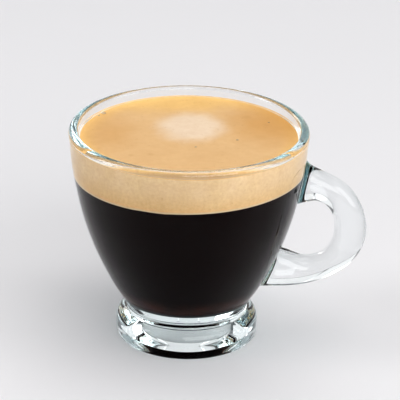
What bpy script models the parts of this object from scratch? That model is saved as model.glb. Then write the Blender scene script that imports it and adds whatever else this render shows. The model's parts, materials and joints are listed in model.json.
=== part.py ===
"""Double espresso in a footed clear glass cup with a ring handle.

Metres, +Z up. The ring that the foot stands on lies on z = 0, the handle points
to +X, and the origin is under the middle of the whole, so the cup's own axis
stands a little to -X. The drink is two bodies inside the glass, the dark coffee
and the foam on it, each a small gap away from what it touches.
"""
import math

import bmesh
import bpy
import numpy as np
from mathutils import Vector

MM = 0.001

# driving sizes in millimetres
RIM_RADIUS = 33.0
RIM_INNER_RADIUS = 30.4
CUP_HEIGHT = 61.5
FOOT_RADIUS = 19.7
NECK_RADIUS = 16.75
NECK_HEIGHT = 9.15
FLOOR_HEIGHT = 11.7
CREMA_TOP = 58.55
COFFEE_TOP = 48.6
GAP = 0.3
SEGMENTS = 60

# foot: roundings of its lower edge, of its shoulder and of the hollow at the neck
FOOT_EDGE = 1.1
FOOT_SHOULDER = 4.15
FOOT_SHOULDER_HEIGHT = 4.3
SHOULDER_SWEEP = 66.0
NECK_HOLLOW = 1.2

# hollow under the foot, and the rounding of its edge
RECESS_DEPTH = 5.0
RECESS_RADIUS = 12.0
RECESS_EDGE = 0.8

# rim: roundings of its outer and inner edge
RIM_OUTER_EDGE = 1.6
RIM_INNER_EDGE = 1.0

# outside of the bowl from the neck up, as radius and height
BOWL_CURVE = (
    (18.95, 13.0),
    (21.85, 18.0),
    (26.2, 27.5),
    (29.3, 36.9),
    (31.25, 45.8),
    (32.35, 52.8),
    (32.65, 57.2),
)
# inside of the bowl from its floor to the rim, as radius and height
CAVITY_CURVE = (
    (0.0, FLOOR_HEIGHT),
    (6.0, 12.0),
    (10.6, 13.0),
    (14.6, 15.15),
    (17.9, 18.5),
    (22.8, 27.5),
    (26.1, 36.9),
    (28.3, 45.6),
    (29.8, 53.6),
    (RIM_INNER_RADIUS, 59.8),
)

# drink: slope of the line under the foam, and the foam's edge where it climbs the glass
FOAM_SLOPE = 0.025
FOAM_EDGE_RISE = 0.4
FOAM_EDGE_WIDTH = 2.4

# handle: points of its outer line with the matching ones of its inner line, as x and height
HANDLE_SECTIONS = (
    ((31.0, 52.5), (28.2, 39.0)),
    ((32.3, 52.0), (29.9, 39.3)),
    ((34.0, 50.4), (32.1, 39.9)),
    ((38.0, 48.4), (35.2, 40.5)),
    ((42.4, 45.9), (38.0, 39.2)),
    ((46.0, 42.3), (39.7, 36.9)),
    ((48.6, 37.4), (40.5, 34.0)),
    ((49.6, 32.0), (40.6, 31.2)),
    ((48.7, 26.9), (40.1, 28.5)),
    ((46.1, 22.6), (38.9, 26.3)),
    ((42.1, 19.3), (37.2, 24.6)),
    ((37.2, 16.7), (34.9, 23.6)),
    ((32.0, 15.1), (32.2, 23.4)),
    ((27.6, 14.5), (29.9, 24.1)),
    ((23.3, 14.3), (28.0, 25.0)),
    ((20.6, 14.2), (26.0, 25.6)),
    ((17.8, 14.2), (24.0, 26.0)),
)
HANDLE_STEPS = 3
HANDLE_HALF_WIDTH = 4.4
HANDLE_SIDES = 20
HANDLE_FLARE = 2.8

# the cup's axis, placed so that the origin is under the middle of the whole
AXIS_X = (RIM_RADIUS - max(outer[0] for outer, _ in HANDLE_SECTIONS)) / 2.0

# looks: colour, roughness, metallic
GLASS_LOOK = ((0.72, 0.84, 0.84, 1.0), 0.03, 0.0)
COFFEE_LOOK = ((0.008, 0.004, 0.003, 1.0), 0.08, 0.0)
CREMA_LOOK = ((0.72, 0.43, 0.16, 1.0), 0.55, 0.0)


def arc(centre, radius, start, end, steps):
    """Points on an arc from one angle to another, in degrees."""
    points = []
    for step in range(steps + 1):
        angle = math.radians(start + (end - start) * step / steps)
        points.append((centre[0] + radius * math.cos(angle), centre[1] + radius * math.sin(angle)))
    return points


def smooth_curve(points, steps):
    """Points on a smooth curve through the given ones, with steps pieces between each two."""
    control = [np.array(point, dtype=float) for point in points]
    control.insert(0, control[0] * 2.0 - control[1])
    control.append(control[-1] * 2.0 - control[-2])
    curve = []
    for before, start, end, after in zip(control, control[1:], control[2:], control[3:]):
        for step in range(steps):
            t = step / steps
            linear = (end - before) * t
            square = (2.0 * before - 5.0 * start + 4.0 * end - after) * t ** 2
            cube = (3.0 * start - before - 3.0 * end + after) * t ** 3
            curve.append(tuple(start + 0.5 * (linear + square + cube)))
    curve.append(tuple(control[-2]))
    return curve


def recess_path():
    """Hollow under the foot from its middle to the flat ring that the cup stands on."""
    radius = (RECESS_RADIUS ** 2 + RECESS_DEPTH ** 2) / (2.0 * RECESS_DEPTH)
    half = math.asin(RECESS_RADIUS / radius)
    reach = RECESS_EDGE * math.tan(half / 2.0)
    end = 90.0 - math.degrees(half - reach / radius)
    path = arc((0.0, RECESS_DEPTH - radius), radius, 90.0, end, 5)
    edge_centre = (RECESS_RADIUS + reach, RECESS_EDGE)
    return path + arc(edge_centre, RECESS_EDGE, -90.0 - math.degrees(half), -90.0, 2)[1:]


def outer_path():
    """Outside of the glass from the middle of its underside to the top of its rim."""
    edge_centre = (FOOT_RADIUS - FOOT_EDGE, FOOT_EDGE)
    shoulder_centre = (FOOT_RADIUS - FOOT_SHOULDER, FOOT_SHOULDER_HEIGHT)
    hollow_centre = (NECK_RADIUS + NECK_HOLLOW, NECK_HEIGHT)
    rim_centre = (RIM_RADIUS - RIM_OUTER_EDGE, CUP_HEIGHT - RIM_OUTER_EDGE)
    path = recess_path()
    path += arc(edge_centre, FOOT_EDGE, -90.0, 0.0, 3)
    path += arc(shoulder_centre, FOOT_SHOULDER, 0.0, SHOULDER_SWEEP, 5)
    hollow = arc(hollow_centre, NECK_HOLLOW, 180.0 + SHOULDER_SWEEP, 150.0, 4)
    path += hollow[:-1]
    path += smooth_curve(hollow[-1:] + list(BOWL_CURVE), 2)
    path += arc(rim_centre, RIM_OUTER_EDGE, 0.0, 90.0, 4)
    return path


def cavity_path():
    """Inside of the glass from the middle of its floor to the top of its rim."""
    rim_centre = (RIM_INNER_RADIUS + RIM_INNER_EDGE, CUP_HEIGHT - RIM_INNER_EDGE)
    return smooth_curve(CAVITY_CURVE, 3) + arc(rim_centre, RIM_INNER_EDGE, 180.0, 90.0, 3)[:-1]


def finish_object(name, shape, look, sharp_degrees):
    """Make an object with its own material from a bmesh in metres, round the cup's axis."""
    bmesh.ops.translate(shape, verts=shape.verts, vec=(AXIS_X * MM, 0.0, 0.0))
    bmesh.ops.recalc_face_normals(shape, faces=shape.faces)
    mesh = bpy.data.meshes.new(name)
    shape.to_mesh(mesh)
    shape.free()
    mesh.shade_smooth()
    mesh.set_sharp_from_angle(angle=math.radians(sharp_degrees))
    material = bpy.data.materials.new(name)
    material.use_nodes = True
    colour, roughness, metallic = look
    shader = material.node_tree.nodes["Principled BSDF"]
    shader.inputs["Base Color"].default_value = colour
    shader.inputs["Roughness"].default_value = roughness
    shader.inputs["Metallic"].default_value = metallic
    mesh.materials.append(material)
    thing = bpy.data.objects.new(name, mesh)
    bpy.context.collection.objects.link(thing)
    return thing


def turned_shape(path):
    """Closed round shape from a path that starts and ends on the axis."""
    shape = bmesh.new()
    corners = [shape.verts.new((radius * MM, 0.0, height * MM)) for radius, height in path]
    edges = [shape.edges.new(pair) for pair in zip(corners, corners[1:])]
    bmesh.ops.spin(
        shape,
        geom=corners + edges,
        cent=(0.0, 0.0, 0.0),
        axis=(0.0, 0.0, 1.0),
        angle=math.tau,
        steps=SEGMENTS,
        use_merge=True,
    )
    bmesh.ops.remove_doubles(shape, verts=shape.verts, dist=0.01 * MM)
    return shape


def bowl_radius(height):
    """Radius of the outside of the bowl at a height."""
    curve = np.array(smooth_curve(BOWL_CURVE, 8))
    return float(np.interp(height, curve[:, 1], curve[:, 0]))


def section_corners(outer, inner, half_width):
    """Corners of the handle's oval section between an outer and an inner point."""
    middle = (outer + inner) / 2.0
    reach = (outer - inner) / 2.0
    corners = []
    for across, along in arc((0.0, 0.0), 1.0, 0.0, 360.0, HANDLE_SIDES)[:-1]:
        point = middle + reach * along
        corners.append(Vector((point.x, across * half_width, point.y)) * MM)
    return corners


def flared_half_width(middle):
    """Half width of the handle, wider by a hollow rounding where it meets the bowl."""
    widest = HANDLE_HALF_WIDTH + HANDLE_FLARE
    surface = math.sqrt(bowl_radius(middle.y) ** 2 - widest ** 2)
    distance = max(middle.x - surface, 0.0)
    reach = max(HANDLE_FLARE - distance, 0.0)
    flare = HANDLE_FLARE - math.sqrt(HANDLE_FLARE ** 2 - reach ** 2)
    return HANDLE_HALF_WIDTH + flare


def make_handle():
    """Ring handle through its sections, with both ends buried in the wall of the bowl."""
    outer_line = smooth_curve([section[0] for section in HANDLE_SECTIONS], HANDLE_STEPS)
    inner_line = smooth_curve([section[1] for section in HANDLE_SECTIONS], HANDLE_STEPS)
    shape = bmesh.new()
    loops = []
    for outer, inner in zip(map(Vector, outer_line), map(Vector, inner_line)):
        half_width = flared_half_width((outer + inner) / 2.0)
        corners = [shape.verts.new(corner) for corner in section_corners(outer, inner, half_width)]
        loops.append([shape.edges.new(pair) for pair in zip(corners, corners[1:] + corners[:1])])
    for first, second in zip(loops, loops[1:]):
        bmesh.ops.bridge_loops(shape, edges=first + second)
    bmesh.ops.edgeloop_fill(shape, edges=loops[0])
    bmesh.ops.edgeloop_fill(shape, edges=loops[-1])
    handle = finish_object("handle", shape, GLASS_LOOK, 40.0)
    handle.hide_render = True
    handle.display_type = "WIRE"
    return handle


def make_glass():
    """Foot, bowl and handle as one clear body."""
    path = cavity_path() + outer_path()[::-1]
    glass = finish_object("glass_cup", turned_shape(path), GLASS_LOOK, 40.0)
    join = glass.modifiers.new("handle", "BOOLEAN")
    join.operation = "UNION"
    join.solver = "EXACT"
    join.object = make_handle()
    return glass


def drink_path():
    """Outline of coffee and foam together, a small gap inside the glass."""
    curve = np.array(smooth_curve(CAVITY_CURVE, 3))
    along = np.gradient(curve, axis=0)
    along /= np.linalg.norm(along, axis=1)[:, None]
    inset = curve + GAP * np.column_stack((-along[:, 1], along[:, 0]))
    inset[0] = (0.0, FLOOR_HEIGHT + GAP)
    top = CREMA_TOP + FOAM_EDGE_RISE
    side = [tuple(point) for point in inset if point[1] < top - GAP]
    edge = float(np.interp(top, inset[:, 1], inset[:, 0]))
    rounding = arc((edge - FOAM_EDGE_WIDTH, top), FOAM_EDGE_WIDTH, 0.0, -90.0, 4)
    squash = FOAM_EDGE_RISE / FOAM_EDGE_WIDTH
    lip = [(radius, top + (height - top) * squash) for radius, height in rounding]
    return side + lip + [(0.0, CREMA_TOP)]


def make_drink_part(name, look, above):
    """The part of the drink above or below the sloping line under the foam."""
    shape = turned_shape(drink_path())
    side = 1.0 if above else -1.0
    normal = Vector((-FOAM_SLOPE, 0.0, 1.0)) * side
    bmesh.ops.bisect_plane(
        shape,
        geom=shape.verts[:] + shape.edges[:] + shape.faces[:],
        plane_co=(0.0, 0.0, (COFFEE_TOP + side * GAP / 2.0) * MM),
        plane_no=normal,
        clear_inner=True,
    )
    rim = [edge for edge in shape.edges if edge.is_boundary]
    bmesh.ops.edgeloop_fill(shape, edges=rim)
    return finish_object(name, shape, look, 40.0)


def main():
    """Build the glass and the drink in it."""
    for thing in list(bpy.data.objects):
        bpy.data.objects.remove(thing, do_unlink=True)
    bpy.context.scene.unit_settings.system = "METRIC"
    make_glass()
    make_drink_part("coffee", COFFEE_LOOK, above=False)
    make_drink_part("crema", CREMA_LOOK, above=True)


main()
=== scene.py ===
"""Double espresso in a footed clear glass cup with a ring handle.

The clear glass, the dark coffee, the foam on it and the few larger bubbles are
modelled over the solids of the frame, in metres, with +Z up and the handle
towards +X. Stage, light and camera stand at the end.
"""
import json
import logging
import math
from dataclasses import dataclass
from enum import Enum
from typing import Any, Callable, Sequence

import bmesh
import bpy
from mathutils import Matrix, Vector

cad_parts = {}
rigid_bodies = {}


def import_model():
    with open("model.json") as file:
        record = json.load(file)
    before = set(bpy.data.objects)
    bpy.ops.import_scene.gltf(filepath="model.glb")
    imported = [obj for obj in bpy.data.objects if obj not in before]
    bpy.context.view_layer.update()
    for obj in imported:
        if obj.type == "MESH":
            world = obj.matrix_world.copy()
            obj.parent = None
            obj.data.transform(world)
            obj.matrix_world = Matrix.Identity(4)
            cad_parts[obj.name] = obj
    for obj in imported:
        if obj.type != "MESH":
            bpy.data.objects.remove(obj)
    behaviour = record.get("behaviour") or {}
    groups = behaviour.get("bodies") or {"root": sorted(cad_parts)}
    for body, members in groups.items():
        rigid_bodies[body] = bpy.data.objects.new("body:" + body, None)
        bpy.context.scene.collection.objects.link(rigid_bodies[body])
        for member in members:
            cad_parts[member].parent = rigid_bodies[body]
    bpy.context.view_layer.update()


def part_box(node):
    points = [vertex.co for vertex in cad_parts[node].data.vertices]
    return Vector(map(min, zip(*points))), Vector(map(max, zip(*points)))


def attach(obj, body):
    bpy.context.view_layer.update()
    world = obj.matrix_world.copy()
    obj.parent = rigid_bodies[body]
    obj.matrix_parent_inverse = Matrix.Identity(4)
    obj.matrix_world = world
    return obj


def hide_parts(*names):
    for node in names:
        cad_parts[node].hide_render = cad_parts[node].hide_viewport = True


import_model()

MM = 0.001
WELD_DISTANCE = 0.01 * MM
RIM_RADIUS = 33.0
AXIS_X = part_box("glass_cup")[0][0] + RIM_RADIUS * MM
LOG = logging.getLogger("double_espresso")

Point = tuple[float, float]
Place = tuple[float, float, float]
Colour = tuple[float, float, float, float]

# Heights in the glass in millimetres, and the slope of the line under the foam

GLASS_FLOOR = 11.7
LINE_HEIGHT = 48.6
LINE_SLOPE = 0.025
FOAM_TOP = 58.55

WHITE: Colour = (1.0, 1.0, 1.0, 1.0)

# Slant of the view, from 0 straight on to 1 edge on, where the drink's mirror starts and is full

MIRROR_SLANTS = (0.45, 0.56)


# Paths

def arc(centre: Point, radius: float, start: float, end: float, steps: int) -> list[Point]:
    """Points on an arc.

    Args:
        centre: middle of the arc, as radius and height.
        radius: radius of the arc.
        start: first angle in degrees.
        end: last angle in degrees.
        steps: number of pieces.

    Returns:
        The points from the first to the last angle.
    """
    points = []
    for step in range(steps + 1):
        angle = math.radians(start + (end - start) * step / steps)
        points.append((centre[0] + radius * math.cos(angle), centre[1] + radius * math.sin(angle)))
    return points


def smooth_curve(points: Sequence[Point], steps: int) -> list[Point]:
    """Smooth curve through points.

    Args:
        points: the points to pass through.
        steps: number of pieces between each two.

    Returns:
        Points along the curve, both ends among them.
    """
    control = [Vector(point) for point in points]
    control.insert(0, control[0] * 2.0 - control[1])
    control.append(control[-1] * 2.0 - control[-2])
    curve = []
    for before, start, end, after in zip(control, control[1:], control[2:], control[3:]):
        for step in range(steps):
            t = step / steps
            linear = (end - before) * t
            square = (before * 2.0 - start * 5.0 + end * 4.0 - after) * t ** 2
            cube = (start * 3.0 - before - end * 3.0 + after) * t ** 3
            curve.append(tuple(start + (linear + square + cube) * 0.5))
    curve.append(tuple(control[-2]))
    return curve


def offset_path(path: Sequence[Point], distance: float) -> list[Point]:
    """Path moved sideways.

    Args:
        path: points as radius and height.
        distance: how far it moves, to the right of its direction.

    Returns:
        The moved points, the first one kept on the axis.
    """
    moved = []
    for index, point in enumerate(path):
        before = Vector(path[max(index - 1, 0)])
        after = Vector(path[min(index + 1, len(path) - 1)])
        along = (after - before).normalized()
        moved.append((point[0] + along.y * distance, point[1] - along.x * distance))
    moved[0] = (0.0, moved[0][1])
    return moved


def radius_at(path: Sequence[Point], height: float) -> float:
    """Radius of a rising path at a height."""
    for (low_radius, low), (high_radius, high) in zip(path, path[1:]):
        if low <= height <= high and high > low:
            return low_radius + (high_radius - low_radius) * (height - low) / (high - low)
    return path[-1][0]


# Modelling steps

def deselect_all() -> None:
    """Deselect every object."""
    for thing in bpy.context.view_layer.objects:
        thing.select_set(False)


def start_piece(name: str) -> bpy.types.Object:
    """Add a small plane and open it in edit mode.

    Args:
        name: name of the new piece.

    Returns:
        The new object, with its plane selected.
    """
    deselect_all()
    bpy.ops.mesh.primitive_plane_add(size=MM, location=(0.0, 0.0, 0.0))
    piece = bpy.context.object
    piece.name = name
    piece.data.name = name
    bpy.ops.object.mode_set(mode="EDIT")
    bpy.ops.mesh.select_all(action="SELECT")
    return piece


def select_edges(piece: bpy.types.Object, test: Callable[[bmesh.types.BMEdge], bool]) -> None:
    """Select just those edges of the piece in edit mode that pass a test."""
    bpy.ops.mesh.select_all(action="DESELECT")
    shape = bmesh.from_edit_mesh(piece.data)
    for edge in shape.edges:
        if test(edge):
            edge.select_set(True)
    shape.select_flush_mode()
    bmesh.update_edit_mesh(piece.data)


def turn_profile(name: str, path: Sequence[Point], segments: int) -> bpy.types.Object:
    """Turned closed body.

    Args:
        name: name of the new piece.
        path: outline as radius and height in millimetres, from axis to axis.
        segments: number of faces round the axis.

    Returns:
        The piece in edit mode, all of it selected.
    """
    piece = start_piece(name)
    bpy.ops.mesh.merge(type="CENTER")
    start = (path[0][0] * MM, 0.0, path[0][1] * MM)
    bpy.ops.transform.translate(value=start)
    for (radius, height), (next_radius, next_height) in zip(path, path[1:]):
        step = ((next_radius - radius) * MM, 0.0, (next_height - height) * MM)
        bpy.ops.mesh.extrude_vertices_move(TRANSFORM_OT_translate={"value": step})
    bpy.ops.mesh.select_all(action="SELECT")
    bpy.ops.mesh.spin(
        steps=segments,
        angle=math.tau,
        center=(0.0, 0.0, 0.0),
        axis=(0.0, 0.0, 1.0),
        use_auto_merge=True,
    )
    bpy.ops.mesh.select_all(action="SELECT")
    bpy.ops.mesh.remove_doubles(threshold=WELD_DISTANCE)
    bpy.ops.mesh.normals_make_consistent(inside=False)
    return piece


def finish_piece(piece: bpy.types.Object, sharp_degrees: float) -> None:
    """Close edit mode, move the piece to the cup's axis and shade it smooth.

    Args:
        piece: the piece to finish.
        sharp_degrees: edges bent more than this stay sharp.
    """
    if piece.mode == "EDIT":
        bpy.ops.object.mode_set(mode="OBJECT")
    deselect_all()
    piece.select_set(True)
    bpy.context.view_layer.objects.active = piece
    piece.location.x = AXIS_X
    bpy.ops.object.transform_apply(location=True, rotation=True, scale=True)
    bpy.ops.object.shade_smooth_by_angle(angle=math.radians(sharp_degrees))


def dress(piece: bpy.types.Object, material: bpy.types.Material) -> None:
    """Give a piece one material."""
    piece.data.materials.clear()
    piece.data.materials.append(material)


# Shader parts

class Sheet:
    """Places and joins nodes in one tree."""

    def __init__(self, tree: bpy.types.NodeTree) -> None:
        """Keep the tree."""
        self.tree = tree

    def put(self, kind: str, values: dict[Any, Any] | None = None, **settings: Any) -> bpy.types.Node:
        """Place a node.

        Args:
            kind: the node's type.
            values: sockets by name or number, each with a value or an output to join.
            settings: other properties of the node.

        Returns:
            The new node.
        """
        node = self.tree.nodes.new(kind)
        for name, setting in settings.items():
            setattr(node, name, setting)
        for socket, value in (values or {}).items():
            if isinstance(value, bpy.types.NodeSocket):
                self.link(value, node.inputs[socket])
            else:
                node.inputs[socket].default_value = value
        return node

    def link(self, output: bpy.types.NodeSocket, socket: bpy.types.NodeSocket) -> None:
        """Join an output to a socket."""
        self.tree.links.new(output, socket)

    def maths(self, operation: str, *values: Any, clamp: bool = False) -> bpy.types.NodeSocket:
        """Output of a Math node on the given values."""
        node = self.put("ShaderNodeMath", dict(enumerate(values)), operation=operation, use_clamp=clamp)
        return node.outputs[0]

    def blend(self, mask: Any, low: Any, high: Any) -> bpy.types.NodeSocket:
        """Colour between two colours, by a mask."""
        node = self.put("ShaderNodeMix", {0: mask, 6: low, 7: high}, data_type="RGBA")
        return node.outputs[2]

    def stain_and_painted_light(
        self, colour: Any, other: Colour, mask: bpy.types.NodeSocket, strength: Any
    ) -> bpy.types.NodeSocket:
        """Colour moved towards another one, by a mask times a strength."""
        return self.blend(self.maths("MULTIPLY", mask, strength), colour, other)

    def ramp(self, value: bpy.types.NodeSocket, low: float, high: float) -> bpy.types.NodeSocket:
        """Value smoothly from 0 at low to 1 at high."""
        node = self.put(
            "ShaderNodeMapRange",
            {"Value": value, "From Min": low, "From Max": high},
            interpolation_type="SMOOTHSTEP",
        )
        return node.outputs["Result"]

    def height_ramp(self, height: bpy.types.NodeSocket, low: float, high: float) -> bpy.types.NodeSocket:
        """Height or distance smoothly from 0 at low to 1 at high, both in millimetres."""
        return self.ramp(height, low * MM, high * MM)

    def effect(self, group: bpy.types.NodeTree, values: dict[str, Any]) -> bpy.types.Node:
        """Place a shared effect with its own values."""
        return self.put("ShaderNodeGroup", values, node_tree=group)

    def split(self, place: bpy.types.NodeSocket) -> tuple[bpy.types.NodeSocket, ...]:
        """Split a place up.

        Args:
            place: the place from the cup's axis.

        Returns:
            Its x, y and height, the place without its height, and its distance from the axis.
        """
        axes = self.put("ShaderNodeSeparateXYZ", {0: place}).outputs
        flat = self.put("ShaderNodeCombineXYZ", {0: axes["X"], 1: axes["Y"]}).outputs[0]
        far = self.put("ShaderNodeVectorMath", {0: flat}, operation="LENGTH").outputs["Value"]
        return axes["X"], axes["Y"], axes["Z"], flat, far


def new_group(
    name: str, inputs: Sequence[tuple[str, str, Any]], outputs: Sequence[tuple[str, str]]
) -> tuple[bpy.types.NodeTree, Sheet, bpy.types.Node, bpy.types.Node]:
    """Start a shader node group.

    Args:
        name: the group's name.
        inputs: name, socket type and value of each input.
        outputs: name and socket type of each output.

    Returns:
        The group, its sheet, the node of its inputs and the node of its outputs.
    """
    group = bpy.data.node_groups.new(name, "ShaderNodeTree")
    for title, kind, value in inputs:
        socket = group.interface.new_socket(title, in_out="INPUT", socket_type=kind)
        socket.default_value = value
    for title, kind in outputs:
        group.interface.new_socket(title, in_out="OUTPUT", socket_type=kind)
    sheet = Sheet(group)
    return group, sheet, sheet.put("NodeGroupInput"), sheet.put("NodeGroupOutput")


class Effects:
    """Shader effects that several finishes share, each built once.

    A bubble's size is a share of its cell, and its ring lies at a share of its size.
    """

    size_least: float = 0.12
    size_spread: float = 0.25
    ring_place: float = 0.85
    ring_sharpness: float = 5.0

    def __init__(self) -> None:
        """Build the groups."""
        self.spot = self.build_spot()
        self.clouds = self.build_clouds()
        self.bubbles = self.build_bubbles()

    def build_spot(self) -> bpy.types.NodeTree:
        """Soft round or oval spot, 1 in its middle and 0 outside."""
        group, sheet, given, result = new_group(
            "soft_spot",
            [
                ("Position", "NodeSocketVector", (0.0, 0.0, 0.0)),
                ("Centre", "NodeSocketVector", (0.0, 0.0, 0.0)),
                ("Stretch", "NodeSocketVector", (1.0, 1.0, 1.0)),
                ("Inner", "NodeSocketFloat", 0.5),
                ("Outer", "NodeSocketFloat", 1.0),
                ("Wobble", "NodeSocketFloat", 0.0),
            ],
            [("Mask", "NodeSocketFloat")],
        )
        away = sheet.put(
            "ShaderNodeVectorMath",
            {0: given.outputs["Position"], 1: given.outputs["Centre"]},
            operation="SUBTRACT",
        )
        sized = sheet.put(
            "ShaderNodeVectorMath",
            {0: away.outputs[0], 1: given.outputs["Stretch"]},
            operation="MULTIPLY",
        )
        distance = sheet.put("ShaderNodeVectorMath", {0: sized.outputs[0]}, operation="LENGTH")
        noise = sheet.put(
            "ShaderNodeTexNoise",
            {"Vector": given.outputs["Position"], "Scale": 160.0, "Detail": 3.0},
        )
        wave = sheet.maths("SUBTRACT", noise.outputs[0], 0.5)
        wave = sheet.maths("MULTIPLY", wave, given.outputs["Wobble"])
        length = sheet.maths("ADD", distance.outputs["Value"], wave)
        mask = sheet.put(
            "ShaderNodeMapRange",
            {
                "Value": length,
                "From Min": given.outputs["Inner"],
                "From Max": given.outputs["Outer"],
                "To Min": 1.0,
                "To Max": 0.0,
            },
            interpolation_type="SMOOTHSTEP",
        )
        sheet.link(mask.outputs["Result"], result.inputs["Mask"])
        return group

    def build_clouds(self) -> bpy.types.NodeTree:
        """Soft clouds, as a mask round a middle of 0.5."""
        group, sheet, given, result = new_group(
            "soft_clouds",
            [
                ("Position", "NodeSocketVector", (0.0, 0.0, 0.0)),
                ("Scale", "NodeSocketFloat", 100.0),
                ("Detail", "NodeSocketFloat", 4.0),
                ("Contrast", "NodeSocketFloat", 1.0),
            ],
            [("Mask", "NodeSocketFloat")],
        )
        noise = sheet.put(
            "ShaderNodeTexNoise",
            {
                "Vector": given.outputs["Position"],
                "Scale": given.outputs["Scale"],
                "Detail": given.outputs["Detail"],
                "Roughness": 0.55,
            },
        )
        centred = sheet.maths("SUBTRACT", noise.outputs[0], 0.5)
        strong = sheet.maths("MULTIPLY", centred, given.outputs["Contrast"])
        mask = sheet.maths("ADD", strong, 0.5, clamp=True)
        sheet.link(mask, result.inputs["Mask"])
        return group

    def build_bubbles(self) -> bpy.types.NodeTree:
        """Fine closed bubbles: a height for bumps and a mask of their dark rings."""
        group, sheet, given, result = new_group(
            "fine_bubbles",
            [
                ("Position", "NodeSocketVector", (0.0, 0.0, 0.0)),
                ("Scale", "NodeSocketFloat", 1200.0),
                ("Share", "NodeSocketFloat", 0.3),
            ],
            [("Height", "NodeSocketFloat"), ("Ring", "NodeSocketFloat")],
        )
        cells = sheet.put(
            "ShaderNodeTexVoronoi",
            {"Vector": given.outputs["Position"], "Scale": given.outputs["Scale"], "Randomness": 1.0},
        )
        colour = sheet.put("ShaderNodeSeparateColor", {0: cells.outputs["Color"]})
        chosen = sheet.maths("LESS_THAN", colour.outputs[0], given.outputs["Share"])
        size = sheet.maths("MULTIPLY_ADD", colour.outputs[1], self.size_spread, self.size_least)
        share = sheet.maths("DIVIDE", cells.outputs["Distance"], size)
        dome = sheet.maths("SUBTRACT", 1.0, share, clamp=True)
        height = sheet.maths("MULTIPLY", dome, chosen)
        ring = sheet.maths("SUBTRACT", share, self.ring_place)
        ring = sheet.maths("ABSOLUTE", ring)
        ring = sheet.maths("MULTIPLY", ring, self.ring_sharpness)
        ring = sheet.maths("SUBTRACT", 1.0, ring, clamp=True)
        ring = sheet.maths("MULTIPLY", ring, chosen)
        sheet.link(height, result.inputs["Height"])
        sheet.link(ring, result.inputs["Ring"])
        return group


def new_material(name: str) -> tuple[bpy.types.Material, Sheet, bpy.types.Node, bpy.types.NodeSocket]:
    """Start a material with its shader.

    Args:
        name: the material's name.

    Returns:
        The material, its sheet, its Principled shader and the place from the cup's axis.
    """
    material = bpy.data.materials.new(name)
    material.use_nodes = True
    sheet = Sheet(material.node_tree)
    shader = material.node_tree.nodes["Principled BSDF"]
    place = sheet.put("ShaderNodeTexCoord").outputs["Object"]
    centred = sheet.put("ShaderNodeMapping", {"Vector": place, "Location": (-AXIS_X, 0.0, 0.0)})
    return material, sheet, shader, centred.outputs[0]


def seal_to_wall(sheet: Sheet, shader: bpy.types.Node, colour: Any, rough: Any, where: Any) -> None:
    """Join colour and roughness to a drink's shader, with the mirror of its skin on the glass.

    Light that runs along inside the wall meets the drink so low that all of it is thrown back.

    Args:
        sheet: the material's sheet.
        shader: its Principled shader.
        colour: colour of the drink.
        rough: roughness of the drink.
        where: 1 on the glass, 0 in the open air.
    """
    slant = sheet.put("ShaderNodeLayerWeight", {"Blend": 0.5}).outputs["Facing"]
    mirror = sheet.maths("MULTIPLY", sheet.ramp(slant, *MIRROR_SLANTS), where)
    dull = sheet.maths("SUBTRACT", 1.0, mirror)
    sheet.link(sheet.blend(mirror, colour, WHITE), shader.inputs["Base Color"])
    sheet.link(sheet.maths("MULTIPLY", dull, rough), shader.inputs["Roughness"])
    sheet.link(mirror, shader.inputs["Metallic"])


# Finishes

@dataclass(frozen=True)
class ClearGlass:
    """Clear pressed glass with a faint sea-green body."""

    ior: float = 1.5
    body_colour: Colour = (0.25, 0.62, 0.69, 1.0)
    specular: float = 0.45
    body_density: float = 5.2
    shadow_colour: Colour = (0.88, 0.92, 0.92, 1.0)
    haze_scale: float = 90.0
    haze_contrast: float = 1.6
    haze_roughness: float = 0.004
    wave_scale: float = 55.0
    wave_height: float = 0.00001

    def material(self, effects: Effects) -> bpy.types.Material:
        """Material with the slow waves that pressing leaves and a little haze."""
        material, sheet, shader, place = new_material("clear_pressed_glass")
        shader.inputs["Base Color"].default_value = WHITE
        shader.inputs["IOR"].default_value = self.ior
        shader.inputs["Transmission Weight"].default_value = 1.0
        shader.inputs["Specular IOR Level"].default_value = self.specular
        haze = sheet.effect(
            effects.clouds,
            {"Position": place, "Scale": self.haze_scale, "Contrast": self.haze_contrast},
        )
        rough = sheet.maths("MULTIPLY", haze.outputs["Mask"], self.haze_roughness)
        sheet.link(rough, shader.inputs["Roughness"])
        waves = sheet.effect(effects.clouds, {"Position": place, "Scale": self.wave_scale, "Detail": 1.0})
        bump = sheet.put(
            "ShaderNodeBump",
            {"Height": waves.outputs["Mask"], "Distance": self.wave_height, "Strength": 1.0},
        )
        sheet.link(bump.outputs["Normal"], shader.inputs["Normal"])
        body = sheet.put(
            "ShaderNodeVolumeAbsorption",
            {"Color": self.body_colour, "Density": self.body_density},
        )
        output = sheet.tree.nodes["Material Output"]
        sheet.link(body.outputs[0], output.inputs["Volume"])
        rays = sheet.put("ShaderNodeLightPath")
        clear = sheet.put("ShaderNodeBsdfTransparent", {"Color": self.shadow_colour})
        mixed = sheet.put(
            "ShaderNodeMixShader",
            {0: rays.outputs["Is Shadow Ray"], 1: shader.outputs[0], 2: clear.outputs[0]},
        )
        sheet.link(mixed.outputs[0], output.inputs["Surface"])
        return material


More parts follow.
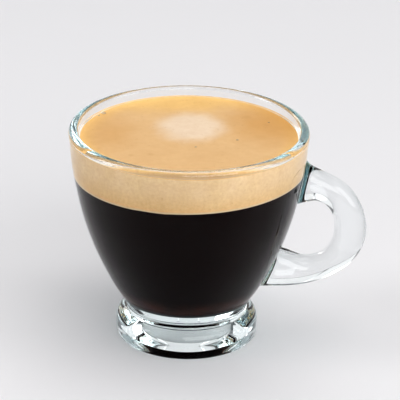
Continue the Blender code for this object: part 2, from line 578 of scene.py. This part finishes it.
@dataclass(frozen=True)
class DarkCoffee:
    """Dark brew, near black, with a red-brown glow in its thin lower edge.

    Each pair of heights or distances, in millimetres, says where something starts and
    where it is full.
    """

    body: Colour = (0.0075, 0.0022, 0.0016, 1.0)
    # Painted glow: the red-brown of light shining through the thin coffee near the floor, laid into its
    # colour.
    thin: Colour = (0.12, 0.022, 0.009, 1.0)
    glow_heights: Point = (GLASS_FLOOR + 7.0, GLASS_FLOOR + 2.0)
    glow_distances: Point = (9.5, 13.0)
    mirror_heights: Point = (GLASS_FLOOR + 5.0, GLASS_FLOOR + 11.0)
    roughness: float = 0.25
    roughness_spread: float = 0.1
    specular: float = 0.02

    def material(self, effects: Effects) -> bpy.types.Material:
        """Material by height and distance from the axis."""
        material, sheet, shader, place = new_material("dark_coffee")
        _, _, height, _, far = sheet.split(place)
        # Painted glow in the coffee's lower edge near the floor.
        low = sheet.height_ramp(height, *self.glow_heights)
        low = sheet.maths("MULTIPLY", low, sheet.height_ramp(far, *self.glow_distances))
        clouds = sheet.effect(effects.clouds, {"Position": place, "Scale": 140.0, "Contrast": 1.5})
        colour = sheet.stain_and_painted_light(self.body, self.thin, low, clouds.outputs["Mask"])
        rough = sheet.maths("MULTIPLY_ADD", clouds.outputs["Mask"], self.roughness_spread, self.roughness)
        seal_to_wall(sheet, shader, colour, rough, sheet.height_ramp(height, *self.mirror_heights))
        shader.inputs["Specular IOR Level"].default_value = self.specular
        return material


@dataclass(frozen=True)
class Spot:
    """Soft oval patch of colour on the foam's top; some are the foam's own tints, others painted shade
    and a painted reflection.

    Its centre is in metres from the cup's axis, and the stretch is one over its half
    sizes. Its edge runs from inner to outer, as shares of these, and wobbles.
    """

    colour: Colour
    strength: float
    centre: Point
    stretch: Point
    inner: float
    outer: float
    wobble: float

    def mask(self, sheet: Sheet, effects: Effects, flat: bpy.types.NodeSocket) -> bpy.types.NodeSocket:
        """Mask of the spot, at places without their height."""
        values = {
            "Position": flat,
            "Centre": (*self.centre, 0.0),
            "Stretch": (*self.stretch, 0.0),
            "Inner": self.inner,
            "Outer": self.outer,
            "Wobble": self.wobble,
        }
        return sheet.effect(effects.spot, values).outputs["Mask"]


@dataclass(frozen=True)
class Crema:
    """Hazelnut foam: golden at its edge, paler where the stream fell with a painted reflection of the
    light behind laid on that patch, painted shade on its right and just behind the front of the rim, fine
    bubbles.

    Each pair of heights or distances, in millimetres, says where something starts and
    where it is full.
    """

    middle: Colour = (0.78, 0.53, 0.29, 1.0)
    edge: Colour = (0.84, 0.55, 0.24, 1.0)
    golden: Colour = (0.90, 0.60, 0.25, 1.0)
    # Amber: the foam's own orange on the left of the top, painted shade on its right.
    amber_and_painted_shade: Colour = (0.66, 0.36, 0.12, 1.0)
    # Pale patch: paler foam where the stream fell, with a painted reflection of the light behind the cup.
    pale: Colour = (0.87, 0.72, 0.57, 1.0)
    shade: Colour = (0.55, 0.31, 0.13, 1.0)
    # Painted shade: darker foam colour just behind the front of the rim, standing in for the rim's shade.
    front: Colour = (0.50, 0.34, 0.20, 1.0)
    wall: Colour = (0.92, 0.71, 0.49, 1.0)
    low: Colour = (0.92, 0.63, 0.335, 1.0)
    straw: Colour = (0.90, 0.685, 0.40, 1.0)
    seam: Colour = (0.80, 0.66, 0.50, 1.0)
    spots: tuple[Spot, ...] = (
        # Painted shade: this amber spot darkens the right of the top, where less light falls.
        Spot(amber_and_painted_shade, 0.75, (0.024, 0.011), (62.0, 50.0), inner=0.1, outer=1.2, wobble=0.5),
        Spot(golden, 0.9, (-0.006, 0.028), (40.0, 80.0), inner=0.3, outer=1.15, wobble=0.4),
        # The foam's own orange, at the left of the top.
        Spot(amber_and_painted_shade, 0.4, (-0.0225, 0.002), (110.0, 60.0), inner=0.1, outer=1.2, wobble=0.7),
        # Pale spot: partly paler foam, partly a painted reflection of the light behind the cup.
        Spot(pale, 0.9, (0.0004, 0.0070), (100.0, 88.0), inner=0.5, outer=1.25, wobble=0.5),
    )
    edge_distances: Point = (24.0, 29.8)
    rim_shade_depths: Point = (-6.0, -18.0)
    rim_shade_inner: Point = (27.4, 28.7)
    rim_shade_outer: Point = (29.8, 29.3)
    rim_shade_strength: float = 0.9
    low_heights: Point = (FOAM_TOP - 3.0, LINE_HEIGHT)
    straw_strength: float = 0.5
    speck_strength: float = 0.2
    seam_heights: Point = (LINE_HEIGHT + 0.65, LINE_HEIGHT + 0.25)
    seam_strength: float = 0.8
    wall_distances: Point = (29.75, 30.0)
    lip_heights: Point = (FOAM_TOP + 0.5, FOAM_TOP + 0.1)
    wall_heights: Point = (FOAM_TOP - 0.03, FOAM_TOP - 0.3)
    grain_strength: float = 0.22
    mottle_strength: float = 0.09
    pore_strength: float = 0.35
    ring_strength: float = 0.35
    roughness: float = 0.5
    specular: float = 0.25
    bump_distance: float = 0.00015
    bump_strength: float = 0.6

    def top_colour(
        self, sheet: Sheet, effects: Effects, depth: Any, flat: Any, far: Any
    ) -> bpy.types.NodeSocket:
        """Colour of the open top.

        Args:
            sheet: the material's sheet.
            effects: shared shader effects.
            depth: y of the place.
            flat: the place without its height.
            far: its distance from the axis.

        Returns:
            The colour, with painted shade just behind the front of the rim.
        """
        colour = sheet.blend(sheet.height_ramp(far, *self.edge_distances), self.middle, self.edge)
        # Spots: the foam's own tints, painted shade on the right and a painted reflection in the pale
        # patch.
        for spot in self.spots:
            colour = sheet.stain_and_painted_light(colour, spot.colour, spot.mask(sheet, effects, flat), spot.strength)
        # Painted shade just behind the front of the rim.
        near = sheet.height_ramp(depth, *self.rim_shade_depths)
        near = sheet.maths("MULTIPLY", near, sheet.height_ramp(far, *self.rim_shade_inner))
        near = sheet.maths("MULTIPLY", near, sheet.height_ramp(far, *self.rim_shade_outer))
        return sheet.stain_and_painted_light(colour, self.front, near, self.rim_shade_strength)

    def side_colour(
        self, sheet: Sheet, effects: Effects, place: Any, across: Any, height: Any
    ) -> bpy.types.NodeSocket:
        """Colour of the side, which is seen through the glass.

        Args:
            sheet: the material's sheet.
            effects: shared shader effects.
            place: the place from the cup's axis.
            across: x of the place.
            height: height of the place.

        Returns:
            The colour, with a pale seam along the sloping line under the foam.
        """
        colour = sheet.blend(sheet.height_ramp(height, *self.low_heights), self.wall, self.low)
        drift = sheet.effect(effects.clouds, {"Position": place, "Scale": 210.0, "Contrast": 2.0})
        colour = sheet.stain_and_painted_light(colour, self.straw, drift.outputs["Mask"], self.straw_strength)
        specks = sheet.effect(effects.clouds, {"Position": place, "Scale": 1300.0, "Contrast": 3.0})
        colour = sheet.stain_and_painted_light(colour, self.shade, specks.outputs["Mask"], self.speck_strength)
        line = sheet.maths("MULTIPLY_ADD", across, -LINE_SLOPE, height)
        line = sheet.height_ramp(line, *self.seam_heights)
        return sheet.stain_and_painted_light(colour, self.seam, line, self.seam_strength)

    def material(self, effects: Effects) -> bpy.types.Material:
        """Material by place on the foam's top and side."""
        material, sheet, shader, place = new_material("crema_foam")
        across, depth, height, flat, far = sheet.split(place)
        clouds = sheet.effect(effects.clouds, {"Position": place, "Scale": 120.0, "Contrast": 1.8})
        top = self.top_colour(sheet, effects, depth, flat, far)
        side = self.side_colour(sheet, effects, place, across, height)
        outside = sheet.height_ramp(far, *self.wall_distances)
        below = sheet.maths("MULTIPLY", outside, sheet.height_ramp(height, *self.lip_heights))
        below = sheet.maths("MAXIMUM", below, sheet.height_ramp(height, *self.wall_heights))
        colour = sheet.blend(below, top, side)
        colour = sheet.stain_and_painted_light(colour, self.shade, clouds.outputs["Mask"], self.grain_strength)
        mottle = sheet.effect(effects.clouds, {"Position": place, "Scale": 480.0, "Contrast": 2.2})
        colour = sheet.stain_and_painted_light(colour, self.shade, mottle.outputs["Mask"], self.mottle_strength)
        pores = sheet.effect(effects.bubbles, {"Position": place, "Scale": 190.0, "Share": 0.07})
        open_top = sheet.maths("MULTIPLY", sheet.maths("SUBTRACT", 1.0, below), self.pore_strength)
        colour = sheet.stain_and_painted_light(colour, self.shade, pores.outputs["Height"], open_top)
        fine = sheet.effect(effects.bubbles, {"Position": place, "Scale": 900.0, "Share": 0.16})
        colour = sheet.stain_and_painted_light(colour, self.shade, fine.outputs["Ring"], self.ring_strength)
        seal_to_wall(sheet, shader, colour, self.roughness, below)
        shader.inputs["Specular IOR Level"].default_value = self.specular
        bump = sheet.put(
            "ShaderNodeBump",
            {
                "Height": sheet.maths("ADD", clouds.outputs["Mask"], fine.outputs["Height"]),
                "Distance": self.bump_distance,
                "Strength": self.bump_strength,
            },
        )
        sheet.link(bump.outputs["Normal"], shader.inputs["Normal"])
        return material


@dataclass(frozen=True)
class BubbleSkin:
    """Wet skin of the few larger bubbles, between the foam's tan and grey."""

    skin: Colour = (0.62, 0.45, 0.29, 1.0)
    sheen: Colour = (0.55, 0.47, 0.36, 1.0)
    roughness: float = 0.12
    specular: float = 0.6

    def material(self, effects: Effects) -> bpy.types.Material:
        """Material with soft clouds of grey on the tan skin."""
        material, sheet, shader, place = new_material("bubble_skin")
        clouds = sheet.effect(effects.clouds, {"Position": place, "Scale": 1500.0, "Contrast": 2.5})
        colour = sheet.blend(clouds.outputs["Mask"], self.skin, self.sheen)
        sheet.link(colour, shader.inputs["Base Color"])
        shader.inputs["Roughness"].default_value = self.roughness
        shader.inputs["Specular IOR Level"].default_value = self.specular
        return material


@dataclass(frozen=True)
class PaleGround:
    """Pale matte surface under the cup."""

    colour: Colour = (0.805, 0.790, 0.800, 1.0)
    darkening: float = 0.97
    roughness: float = 0.8
    specular: float = 0.2

    def material(self, effects: Effects) -> bpy.types.Material:
        """Material with faint clouds."""
        material, sheet, shader, place = new_material("pale_ground")
        clouds = sheet.effect(effects.clouds, {"Position": place, "Scale": 4.0, "Contrast": 1.0})
        darker = tuple(self.darkening * part for part in self.colour[:3]) + (1.0,)
        colour = sheet.blend(clouds.outputs["Mask"], darker, self.colour)
        sheet.link(colour, shader.inputs["Base Color"])
        shader.inputs["Roughness"].default_value = self.roughness
        shader.inputs["Specular IOR Level"].default_value = self.specular
        return material


# Pieces

@dataclass
class GlassCup:
    """Bowl, foot and ring handle, pressed in one piece; in millimetres and degrees.

    The bowl and the cavity are points as radius and height. The outer and the inner line
    of the handle are points as x and height, and each pair of them holds one section.
    """

    rim_radius: float = RIM_RADIUS
    rim_inner_radius: float = 30.4
    height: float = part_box("glass_cup")[1][2] / MM
    foot_radius: float = 19.7
    neck_radius: float = 16.75
    neck_height: float = 9.15
    foot_edge: float = 1.1
    foot_shoulder: float = 4.15
    foot_shoulder_height: float = 4.3
    shoulder_sweep: float = 66.0
    neck_hollow: float = 1.2
    recess_depth: float = 5.0
    recess_radius: float = 12.0
    recess_edge: float = 0.8
    rim_outer_edge: float = 1.6
    rim_inner_edge: float = 1.0
    bowl: tuple[Point, ...] = (
        (18.95, 13.0),
        (21.85, 18.0),
        (26.2, 27.5),
        (29.3, 36.9),
        (31.25, 45.8),
        (32.35, 52.8),
        (32.65, 57.2),
    )
    cavity: tuple[Point, ...] = (
        (0.0, GLASS_FLOOR),
        (6.0, 12.0),
        (10.6, 13.0),
        (14.6, 15.15),
        (17.9, 18.5),
        (22.8, 27.5),
        (26.1, 36.9),
        (28.3, 45.6),
        (29.8, 53.6),
        (30.4, 59.8),
    )
    handle_outer: tuple[Point, ...] = (
        (31.0, 52.5), (32.3, 52.0), (34.0, 50.4), (38.0, 48.4), (42.4, 45.9), (46.0, 42.3),
        (48.6, 37.4), (49.6, 32.0), (48.7, 26.9), (46.1, 22.6), (42.1, 19.3), (37.2, 16.7),
        (32.0, 15.1), (27.6, 14.5), (23.3, 14.3), (20.6, 14.2), (17.8, 14.2),
    )
    handle_inner: tuple[Point, ...] = (
        (28.2, 39.0), (29.9, 39.3), (32.1, 39.9), (35.2, 40.5), (38.0, 39.2), (39.7, 36.9),
        (40.5, 34.0), (40.6, 31.2), (40.1, 28.5), (38.9, 26.3), (37.2, 24.6), (34.9, 23.6),
        (32.2, 23.4), (29.9, 24.1), (28.0, 25.0), (26.0, 25.6), (24.0, 26.0),
    )
    handle_half_width: float = 4.4
    handle_sides: int = 40
    handle_flare: float = 2.8
    handle_steps: int = 4
    segments: int = 144
    curve_steps: int = 6
    flare_steps: int = 8
    recess_steps: int = 16
    recess_edge_steps: int = 5
    foot_edge_steps: int = 8
    shoulder_steps: int = 12
    neck_steps: int = 10
    neck_end: float = 150.0
    rim_outer_steps: int = 12
    rim_inner_steps: int = 8
    sharp_degrees: float = 32.0

    def recess_path(self) -> list[Point]:
        """Hollow under the foot, from its middle to the flat ring that it stands on."""
        radius = (self.recess_radius ** 2 + self.recess_depth ** 2) / (2.0 * self.recess_depth)
        half = math.asin(self.recess_radius / radius)
        reach = self.recess_edge * math.tan(half / 2.0)
        end = 90.0 - math.degrees(half - reach / radius)
        centre = (0.0, self.recess_depth - radius)
        path = arc(centre, radius, 90.0, end, self.recess_steps)
        edge = (self.recess_radius + reach, self.recess_edge)
        slope = -90.0 - math.degrees(half)
        return path + arc(edge, self.recess_edge, slope, -90.0, self.recess_edge_steps)

    def outer_path(self) -> list[Point]:
        """Outside from the middle of the underside to the top of the rim."""
        path = self.recess_path()
        foot = (self.foot_radius - self.foot_edge, self.foot_edge)
        path += arc(foot, self.foot_edge, -90.0, 0.0, self.foot_edge_steps)
        shoulder = (self.foot_radius - self.foot_shoulder, self.foot_shoulder_height)
        path += arc(shoulder, self.foot_shoulder, 0.0, self.shoulder_sweep, self.shoulder_steps)
        neck = (self.neck_radius + self.neck_hollow, self.neck_height)
        meeting = 180.0 + self.shoulder_sweep
        hollow = arc(neck, self.neck_hollow, meeting, self.neck_end, self.neck_steps)
        path += hollow[:-1]
        path += smooth_curve(hollow[-1:] + list(self.bowl), self.curve_steps)
        rim = (self.rim_radius - self.rim_outer_edge, self.height - self.rim_outer_edge)
        path += arc(rim, self.rim_outer_edge, 0.0, 90.0, self.rim_outer_steps)
        return path

    def cavity_path(self) -> list[Point]:
        """Inside from the middle of the floor to where the rim's rounding starts."""
        return smooth_curve(self.cavity, self.curve_steps)

    def closed_path(self) -> list[Point]:
        """Whole section of the glass, from axis to axis."""
        rim = (self.rim_inner_radius + self.rim_inner_edge, self.height - self.rim_inner_edge)
        rounding = arc(rim, self.rim_inner_edge, 180.0, 90.0, self.rim_inner_steps)
        return self.cavity_path() + rounding[:-1] + self.outer_path()[::-1]

    def half_width(self, middle: Vector) -> float:
        """Half width of the handle, wider by a hollow rounding at the bowl.

        Args:
            middle: middle of the section, as x and height.

        Returns:
            The half width in millimetres.
        """
        widest = self.handle_half_width + self.handle_flare
        radius = radius_at(smooth_curve(self.bowl, self.flare_steps), middle.y)
        surface = math.sqrt(radius ** 2 - widest ** 2)
        distance = max(middle.x - surface, 0.0)
        reach = max(self.handle_flare - distance, 0.0)
        return widest - math.sqrt(self.handle_flare ** 2 - reach ** 2)

    def add_section(self, outer: Vector, inner: Vector) -> None:
        """Add one oval section of the handle.

        Args:
            outer: its outer point, as x and height.
            inner: its inner point.
        """
        middle = (outer + inner) / 2.0
        out = outer - inner
        centre = (middle.x * MM, 0.0, middle.y * MM)
        size = (out.length / 2.0 * MM, self.half_width(middle) * MM, 1.0)
        angle = math.atan2(out.y, out.x)
        bpy.ops.mesh.primitive_circle_add(vertices=self.handle_sides, radius=1.0, location=centre)
        bpy.ops.transform.resize(value=size, center_override=centre)
        bpy.ops.transform.rotate(value=angle, orient_axis="Y", center_override=centre)

    def build_handle(self) -> bpy.types.Object:
        """Ring handle bridged through its sections, both ends buried in the wall."""
        piece = start_piece("handle")
        bpy.ops.mesh.delete(type="VERT")
        outer = smooth_curve(self.handle_outer, self.handle_steps)
        inner = smooth_curve(self.handle_inner, self.handle_steps)
        counts = [0]
        for start, end in zip(map(Vector, outer), map(Vector, inner)):
            self.add_section(start, end)
            counts.append(len(bmesh.from_edit_mesh(piece.data).verts))
        for first, second, third in zip(counts, counts[1:], counts[2:]):
            select_edges(piece, lambda edge: not edge.is_manifold
                         and all(first <= vert.index < third for vert in edge.verts))
            bpy.ops.mesh.bridge_edge_loops()
        for low, high in ((counts[0], counts[1]), (counts[-2], counts[-1])):
            select_edges(piece, lambda edge: edge.is_boundary
                         and all(low <= vert.index < high for vert in edge.verts))
            bpy.ops.mesh.edge_face_add()
        bpy.ops.mesh.select_all(action="SELECT")
        bpy.ops.mesh.normals_make_consistent(inside=False)
        bpy.ops.object.mode_set(mode="OBJECT")
        return piece

    def build(self, finish: ClearGlass, effects: Effects) -> bpy.types.Object:
        """Glass with its handle joined on.

        Args:
            finish: the glass's finish.
            effects: shared shader effects.

        Returns:
            The finished piece.
        """
        piece = turn_profile("clear_glass", self.closed_path(), self.segments)
        bpy.ops.object.mode_set(mode="OBJECT")
        handle = self.build_handle()
        deselect_all()
        bpy.context.view_layer.objects.active = piece
        join = piece.modifiers.new("handle", "BOOLEAN")
        join.operation = "UNION"
        join.solver = "EXACT"
        join.object = handle
        bpy.ops.object.modifier_apply(modifier=join.name)
        bpy.data.objects.remove(handle, do_unlink=True)
        finish_piece(piece, self.sharp_degrees)
        dress(piece, finish.material(effects))
        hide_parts("glass_cup")
        return piece


class Layer(Enum):
    """The two layers of the drink."""

    COFFEE = "coffee"
    FOAM = "crema"


@dataclass
class Drink:
    """Coffee and foam that fill the glass; sizes in millimetres."""

    cup: GlassCup
    edge_rise: float = 0.4
    edge_width: float = 2.4
    edge_steps: int = 8
    edge_gap: float = 0.2
    reach: float = 0.05
    flat_radii: tuple[float, ...] = (24.0, 20.0, 15.0, 10.0, 5.0, 0.0)
    segments: int = 128
    sharp_degrees: float = 35.0

    def path(self) -> list[Point]:
        """Outline of the whole drink, reaching just into the wall."""
        side = offset_path(self.cup.cavity_path(), self.reach)
        top = FOAM_TOP + self.edge_rise
        middle = (radius_at(side, top) - self.edge_width, top)
        rounding = arc(middle, self.edge_width, 0.0, -90.0, self.edge_steps)
        squash = self.edge_rise / self.edge_width
        lip = [(radius, top + (height - top) * squash) for radius, height in rounding]
        low = [point for point in side if point[1] < top - self.edge_gap]
        return low + lip + [(radius, FOAM_TOP) for radius in self.flat_radii]

    def build_layer(self, layer: Layer, name: str) -> bpy.types.Object:
        """One layer, cut from the whole drink along the sloping line.

        Args:
            layer: the layer to keep.
            name: name of the piece.

        Returns:
            The finished piece.
        """
        piece = turn_profile(name, self.path(), self.segments)
        bpy.ops.mesh.select_all(action="SELECT")
        bpy.ops.mesh.bisect(
            plane_co=(0.0, 0.0, LINE_HEIGHT * MM),
            plane_no=(-LINE_SLOPE, 0.0, 1.0),
            use_fill=True,
            clear_inner=layer is Layer.FOAM,
            clear_outer=layer is Layer.COFFEE,
        )
        bpy.ops.mesh.select_all(action="SELECT")
        bpy.ops.mesh.normals_make_consistent(inside=False)
        finish_piece(piece, self.sharp_degrees)
        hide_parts(layer.value)
        return piece


@dataclass
class FoamBubbles:
    """The few larger bubbles on the foam, each as x, y and radius in millimetres."""

    flatness: float = 0.45
    sunk: float = 0.03
    segments: int = 20
    rings: int = 10
    sharp_degrees: float = 50.0
    places: tuple[Place, ...] = (
        (-24.2, 16.6, 0.80),
        (-25.4, 14.6, 0.40),
        (13.2, -1.8, 0.36),
        (1.9, -7.4, 0.32),
        (22.0, 11.5, 0.26),
    )

    def build(self) -> bpy.types.Object:
        """Low closed domes that rest a little in the foam."""
        piece = start_piece("foam_bubbles")
        bpy.ops.mesh.delete(type="VERT")
        for x, y, radius in self.places:
            centre = (x * MM, y * MM, FOAM_TOP * MM)
            bpy.ops.mesh.select_all(action="DESELECT")
            bpy.ops.mesh.primitive_uv_sphere_add(
                segments=self.segments,
                ring_count=self.rings,
                radius=radius * MM,
                location=centre,
            )
            bpy.ops.transform.resize(value=(1.0, 1.0, self.flatness), center_override=centre)
            bpy.ops.mesh.bisect(
                plane_co=(0.0, 0.0, (FOAM_TOP - self.sunk) * MM),
                plane_no=(0.0, 0.0, 1.0),
                use_fill=True,
                clear_inner=True,
            )
        bpy.ops.mesh.select_all(action="SELECT")
        bpy.ops.mesh.normals_make_consistent(inside=False)
        finish_piece(piece, self.sharp_degrees)
        return piece


@dataclass(frozen=True)
class Softbox:
    """Soft rectangular light aimed at the cup.

    It stands at a place in metres from the cup's axis, has a width and height in metres
    and a power in watts.
    """

    name: str
    place: Place
    size: Point
    power: float

    def add(self, aim: Place) -> None:
        """Add the light, turned towards a point on the cup's axis."""
        light = bpy.data.lights.new(self.name, "AREA")
        light.shape = "RECTANGLE"
        light.size, light.size_y = self.size
        light.energy = self.power
        lamp = bpy.data.objects.new(self.name, light)
        bpy.context.collection.objects.link(lamp)
        lamp.location = Vector(self.place) + Vector((AXIS_X, 0.0, 0.0))
        ahead = Vector(aim) - Vector(self.place)
        lamp.rotation_euler = ahead.to_track_quat("-Z", "Y").to_euler()


@dataclass
class Stage:
    """Pale floor, soft studio light, camera and look.

    In metres and degrees, apart from the lens and its sensor, which are in millimetres.
    """

    air_gap: float = 0.0001
    floor_width: float = 4.0
    aim: Place = (0.0, 0.0, 0.035)
    softboxes: tuple[Softbox, ...] = (
        Softbox("top", (0.16, 0.10, 1.2), (1.1, 1.0), 5.0),
        Softbox("left", (-1.0, -0.1, 0.55), (0.36, 0.6), 2.6),
        Softbox("right", (1.0, -0.35, 0.5), (0.6, 0.75), 2.8),
        Softbox("front", (0.45, -1.1, 0.8), (1.2, 0.7), 6.2),
        Softbox("back_left", (-0.58, 1.163, 0.375), (0.88, 0.75), 1.17),
        Softbox("back_middle", (-0.034, 1.3, 0.375), (0.30, 0.75), 0.37),
        Softbox("back_right", (0.50, 1.20, 0.375), (0.83, 0.75), 1.10),
        Softbox("backdrop", (-1.2, 1.8, 0.9), (1.0, 0.5), 4.2),
    )
    room_colour: Colour = (0.43, 0.455, 0.47, 1.0)
    room_strength: float = 0.32
    distance: float = 0.700
    elevation: float = 23.43
    look_at: Place = (0.00324, 0.0, 0.03974)
    roll: float = 0.9
    lens: float = 227.95
    sensor_width: float = 36.0
    clip_start: float = 0.01
    bounces: int = 80
    black_level: float = 0.0165

    def add_floor(self, finish: PaleGround, effects: Effects) -> None:
        """Wide pale floor, a hair under the foot."""
        piece = start_piece("floor")
        size = (self.floor_width / MM, self.floor_width / MM, 1.0)
        bpy.ops.transform.resize(value=size, center_override=(0.0, 0.0, 0.0))
        bpy.ops.transform.translate(value=(0.0, 0.0, -self.air_gap))
        bpy.ops.object.mode_set(mode="OBJECT")
        dress(piece, finish.material(effects))

    def add_lights(self) -> None:
        """Softboxes all round and above, and a soft grey room."""
        for softbox in self.softboxes:
            softbox.add(self.aim)
        world = bpy.data.worlds.new("room")
        world.use_nodes = True
        room = world.node_tree.nodes["Background"]
        room.inputs["Color"].default_value = self.room_colour
        room.inputs["Strength"].default_value = self.room_strength
        bpy.context.scene.world = world

    def add_camera(self) -> None:
        """Camera at the photograph's angle."""
        lens = bpy.data.cameras.new("camera")
        lens.lens = self.lens
        lens.sensor_width = self.sensor_width
        lens.clip_start = self.clip_start
        camera = bpy.data.objects.new("camera", lens)
        bpy.context.collection.objects.link(camera)
        tilt = math.radians(self.elevation)
        back = Vector((0.0, -math.cos(tilt), math.sin(tilt))) * self.distance
        turn = Matrix.Rotation(math.pi / 2.0 - tilt, 4, "X")
        turn = turn @ Matrix.Rotation(math.radians(self.roll), 4, "Z")
        target = Vector(self.look_at) + Vector((AXIS_X, 0.0, 0.0))
        camera.matrix_world = Matrix.Translation(target + back) @ turn
        bpy.context.scene.camera = camera

    def set_look(self) -> None:
        """Light paths long enough for thick glass, and the contrast of a studio photograph."""
        paths = bpy.context.scene.cycles
        paths.max_bounces = paths.glossy_bounces = paths.transmission_bounces = self.bounces
        view = bpy.context.scene.view_settings
        view.view_transform = "Standard"
        view.look = "High Contrast"
        view.use_curve_mapping = True
        view.curve_mapping.black_level = (self.black_level,) * 3
        view.curve_mapping.update()


def main() -> None:
    """Build the pieces, the stage and the camera, and report each piece."""
    logging.basicConfig(level=logging.INFO, format="%(name)s: %(message)s")
    effects = Effects()
    cup = GlassCup()
    glass = cup.build(ClearGlass(), effects)
    drink = Drink(cup)
    coffee = drink.build_layer(Layer.COFFEE, "coffee_body")
    dress(coffee, DarkCoffee().material(effects))
    foam = drink.build_layer(Layer.FOAM, "crema_foam")
    dress(foam, Crema().material(effects))
    bubbles = FoamBubbles().build()
    dress(bubbles, BubbleSkin().material(effects))
    for piece in (glass, coffee, foam, bubbles):
        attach(piece, "root")
        LOG.info("%s: %d faces", piece.name, len(piece.data.polygons))
    stage = Stage()
    stage.add_floor(PaleGround(), effects)
    stage.add_lights()
    stage.add_camera()
    stage.set_look()


if __name__ == "__main__":
    main()
